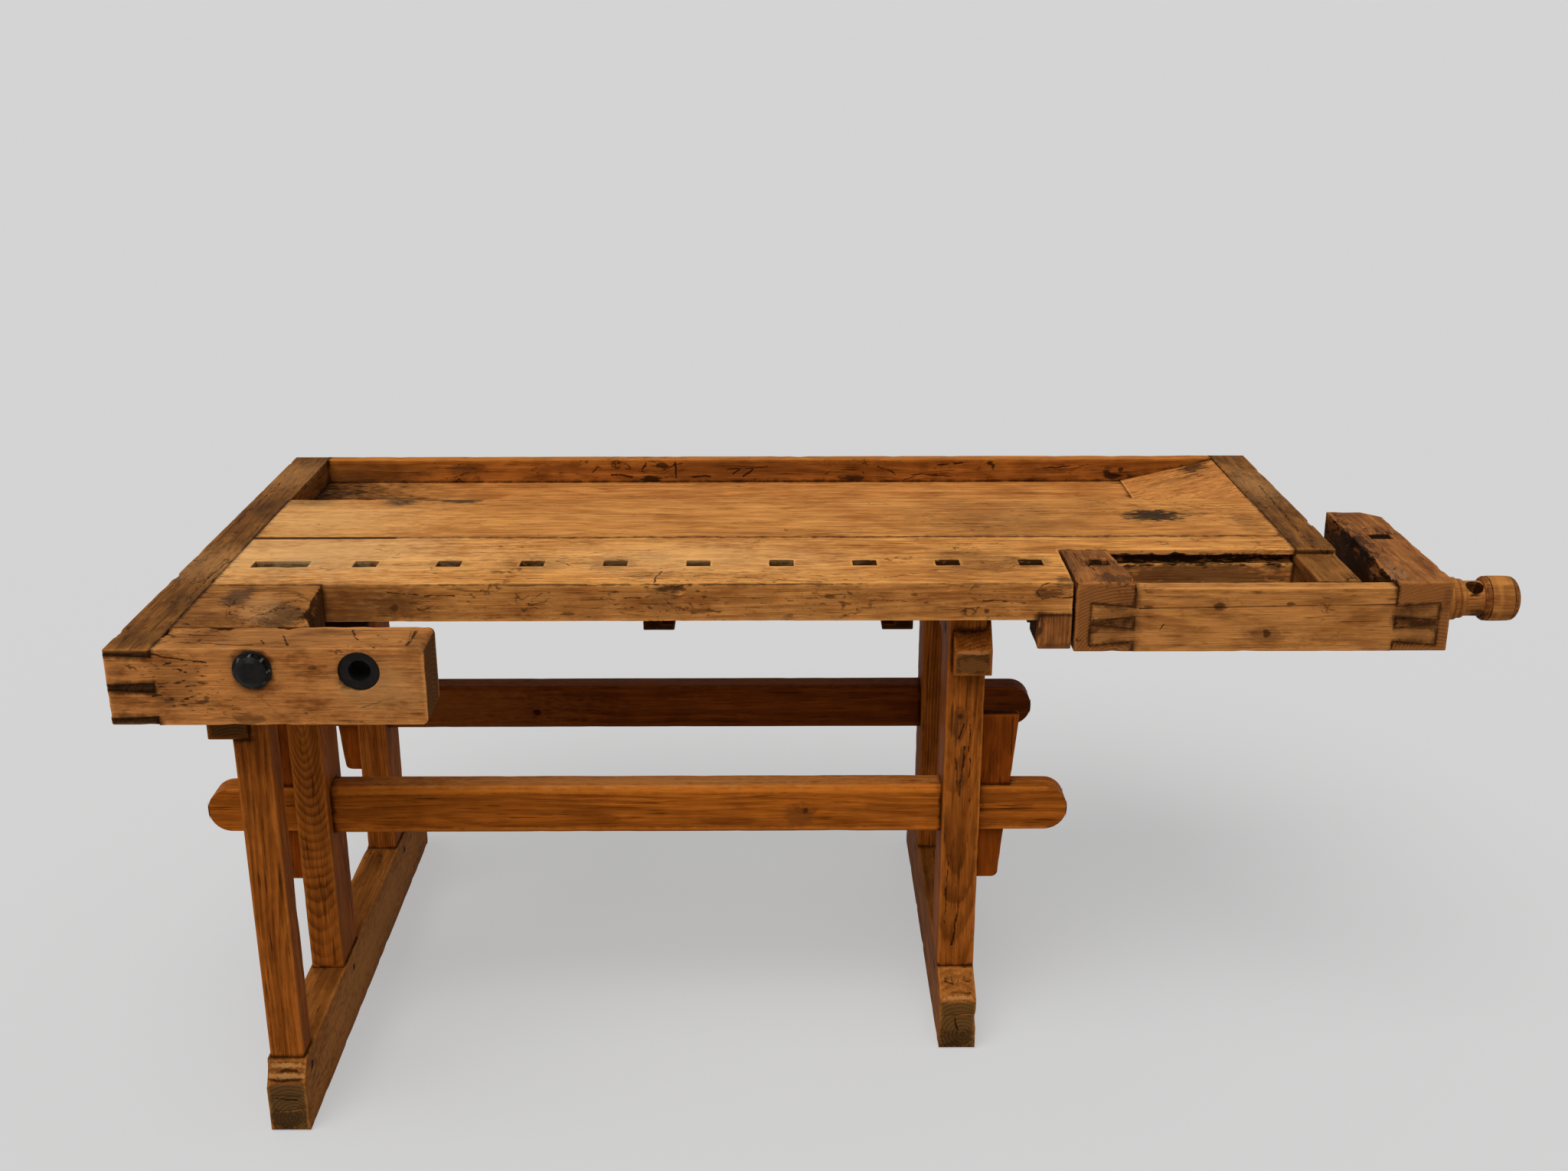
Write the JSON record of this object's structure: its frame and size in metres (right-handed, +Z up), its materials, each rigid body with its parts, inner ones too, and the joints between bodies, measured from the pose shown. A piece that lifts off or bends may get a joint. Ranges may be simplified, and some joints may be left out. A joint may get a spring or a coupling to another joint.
{
  "type": "woodworking bench",
  "caption": "Joiner's bench on wedged trestles, with a row of dog holes, a tool tray, a sliding tail vise with a wooden screw and the open arm of a shoulder vise.",
  "frame": {"origin": "on the floor, below the middle of the bench's bounding box", "axes": "+X along the bench towards the tail vise's screw, +Y from the front edge to the back, +Z up"},
  "size_m": [2.077, 1.006, 0.82],
  "materials": {
    "plank_wood": "worn, oiled softwood",
    "tray_wood": "worn softwood",
    "frame_wood": "worn, dark hardwood",
    "trestle_wood": "worn softwood",
    "stretcher_wood": "worn, reddish softwood",
    "screw_wood": "turned hardwood",
    "iron": "blackened"
  },
  "bodies": {
    "bench": {"front_plank": "plank_wood", "rear_plank": "plank_wood", "tray_floor": "tray_wood", "tray_ramp": "tray_wood", "back_rail": "frame_wood", "left_end_cap": "frame_wood", "right_end_cap": "frame_wood", "vise_arm": "plank_wood", "spacer_block": "plank_wood", "tie_bolt": "iron", "tie_bolt_nut": "iron", "vise_nut": "iron", "end_jaw_block": "frame_wood", "locating_batten": "trestle_wood", "left_drawer_runner": "trestle_wood", "right_drawer_runner": "trestle_wood", "guide_bridge": "frame_wood", "locating_dowels": "trestle_wood", "left_foot": "trestle_wood", "left_front_post": "trestle_wood", "left_middle_post": "trestle_wood", "left_rear_post": "trestle_wood", "left_top_rail": "trestle_wood", "right_foot": "trestle_wood", "right_front_post": "trestle_wood", "right_rear_post": "trestle_wood", "right_top_rail": "trestle_wood", "front_stretcher": "stretcher_wood", "rear_stretcher": "stretcher_wood", "left_front_wedge": "stretcher_wood", "left_rear_wedge": "stretcher_wood", "right_front_wedge": "stretcher_wood", "right_rear_wedge": "stretcher_wood", "trestle_pegs": "trestle_wood"},
    "tail_vise": {"jaw_block": "frame_wood", "jaw_tongue": "frame_wood", "front_rail": "plank_wood", "end_block": "frame_wood", "guide_bar": "frame_wood", "guide_wedge": "frame_wood", "garter_key": "frame_wood"},
    "tail_screw": {"vise_screw": "screw_wood"}
  },
  "joints": [
    {"name": "tail_vise_slide", "type": "slide", "parent": "bench", "child": "tail_vise", "axis": [1, 0, 0], "range_m": [-0.0035, 0.22]},
    {"name": "tail_screw_turn", "type": "hinge", "parent": "tail_vise", "child": "tail_screw", "pos_m": [0.9145, -0.142, 0.763], "axis": [1, 0, 0], "range_deg": [-104, 6590]}
  ],
  "couplings": [
    {"joint": "tail_vise_slide", "follows": "tail_screw_turn", "m_per_rad": 0.0019099}
  ]
}
